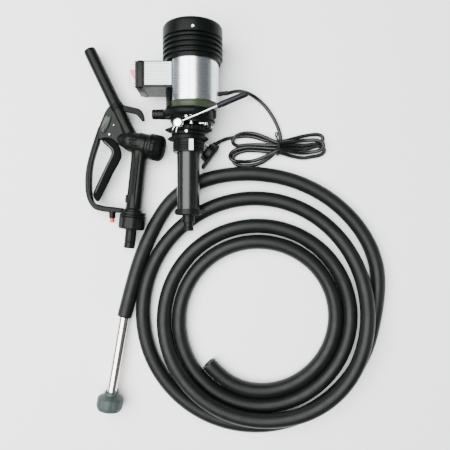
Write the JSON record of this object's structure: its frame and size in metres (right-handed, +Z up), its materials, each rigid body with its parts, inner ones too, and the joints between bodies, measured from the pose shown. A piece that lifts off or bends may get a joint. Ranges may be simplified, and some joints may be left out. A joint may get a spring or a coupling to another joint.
{
  "type": "fluid transfer pump",
  "caption": "Electric drum pump with motor, riser tube and lever, dispensing nozzle, coiled suction hose with steel tube and strainer foot, and mains lead.",
  "frame": {"origin": "on the floor, under the middle of the box around the pump, nozzle, suction tube and foot", "axes": "+Y along the pump towards the motor, +X to the hose coil's side, +Z up from the floor the kit lies on"},
  "size_m": [0.5567, 0.741, 0.106],
  "materials": {
    "black_plastic": "moulded black plastic",
    "cast_black": "black painted casting",
    "olive_flange": "olive grey paint",
    "silver_plate": "brushed silver plate",
    "steel": "bright steel",
    "chrome": "polished",
    "polished_tube": "polished stainless tube",
    "white_plate": "blank light plate",
    "red_plastic": "red plastic",
    "clear_hood": "clear soft cover",
    "rubber": "black rubber",
    "cord_rubber": "black flex sheath",
    "grey_foot": "grey green plastic",
    "copper": "enamelled copper",
    "iron": "laminations",
    "brass": "brass",
    "grip": "black sleeve"
  },
  "bodies": {
    "root": {"motor_cowl": "black_plastic", "motor_barrel": "cast_black", "wrap_plate": "silver_plate", "motor_flange": "olive_flange", "rear_shield": "iron", "shaft_bearings": "steel", "stator_core": "iron", "stator_windings": "copper", "pump_housing": "cast_black", "outlet_barb": "black_plastic", "pump_seals": "rubber", "pump_cover": "cast_black", "cover_screws": "steel", "pump_neck": "black_plastic", "riser_tube": "black_plastic", "tube_end_cap": "black_plastic", "inlet_nipple": "black_plastic", "lever_bracket": "cast_black", "switch_box": "black_plastic", "box_plate": "white_plate", "box_lid": "black_plastic", "lid_screws": "steel", "rocker_frame": "white_plate", "switch_hood": "clear_hood", "run_capacitor": "white_plate", "suction_tube": "polished_tube", "strainer_foot": "grey_foot", "hose_coil": "rubber", "hose_run": "rubber", "cord_gland": "cord_rubber", "mains_run": "cord_rubber", "mains_hank": "cord_rubber", "hank_tie": "cord_rubber", "plug_lead": "cord_rubber", "plug_body": "black_plastic", "plug_pins": "steel"},
    "lever": {"lever_boss": "chrome", "lever_rod": "chrome", "lever_grip": "grip"},
    "rotor": {"motor_shaft": "steel", "rotor_core": "iron", "cooling_fan": "black_plastic", "impeller": "black_plastic"},
    "rocker": {"switch_rocker": "red_plastic"},
    "coupling": {"coupling_ring": "black_plastic"},
    "bung": {"bung_collar": "black_plastic", "collar_plate": "white_plate"},
    "nozzle": {"nozzle_body": "black_plastic", "spout": "cast_black", "spout_hook": "black_plastic", "trigger_guard": "black_plastic", "trigger_pin": "steel", "valve_spring": "steel", "valve_cap": "black_plastic"},
    "trigger": {"trigger": "black_plastic"},
    "poppet": {"valve_poppet": "brass"},
    "latch": {"latch_button": "red_plastic"},
    "swivel": {"union_nut": "black_plastic", "nozzle_tail": "black_plastic"},
    "foot_valve": {"foot_ball": "black_plastic"}
  },
  "joints": [
    {"name": "rotor_spin", "type": "hinge", "parent": "root", "child": "rotor", "pos_m": [0.05174, 0.29847, 0.053], "axis": [0, 1, 0], "continuous": true},
    {"name": "switch_rock", "type": "hinge", "parent": "root", "child": "rocker", "pos_m": [-0.04366, 0.25947, 0.0545], "axis": [0, 0, 1], "range_deg": [0, 12]},
    {"name": "lever_swing", "type": "hinge", "parent": "root", "child": "lever", "pos_m": [0.03034, 0.17107, 0.094], "axis": [0, 0, 1], "range_deg": [-90, 0]},
    {"name": "coupling_turn", "type": "hinge", "parent": "root", "child": "coupling", "pos_m": [0.04404, 0.16547, 0.053], "axis": [0, 1, 0], "range_deg": [-45, 0]},
    {"name": "bung_spin", "type": "hinge", "parent": "root", "child": "bung", "pos_m": [0.04404, 0.13647, 0.053], "axis": [0, 1, 0], "continuous": true},
    {"name": "nozzle_lift", "type": "slide", "parent": "root", "child": "nozzle", "axis": [0, 0, 1], "range_m": [0, 0.15]},
    {"name": "trigger_pull", "type": "hinge", "parent": "nozzle", "child": "trigger", "pos_m": [-0.10056, 0.16317, 0.0243], "axis": [0, 0, 1], "range_deg": [0, 12], "stiffness_Nm_per_rad": 2, "springref_deg": -5.73},
    {"name": "valve_slide", "type": "slide", "parent": "nozzle", "child": "poppet", "axis": [0.9744, -0.225, 0], "range_m": [0, 0.0022]},
    {"name": "latch_press", "type": "slide", "parent": "nozzle", "child": "latch", "axis": [0, 1, 0], "range_m": [0, 0.005], "stiffness_N_per_m": 300, "springref_m": -0.001},
    {"name": "nut_spin", "type": "hinge", "parent": "nozzle", "child": "swivel", "pos_m": [-0.05956, 0.02227, 0.0243], "axis": [0.108, 0.9942, 0], "continuous": true},
    {"name": "foot_valve_slide", "type": "slide", "parent": "root", "child": "foot_valve", "axis": [-0.153, -0.9857, 0.0705], "range_m": [-0.002, 0]}
  ],
  "couplings": [
    {"joint": "valve_slide", "follows": "trigger_pull", "m_per_rad": 0.0105}
  ]
}
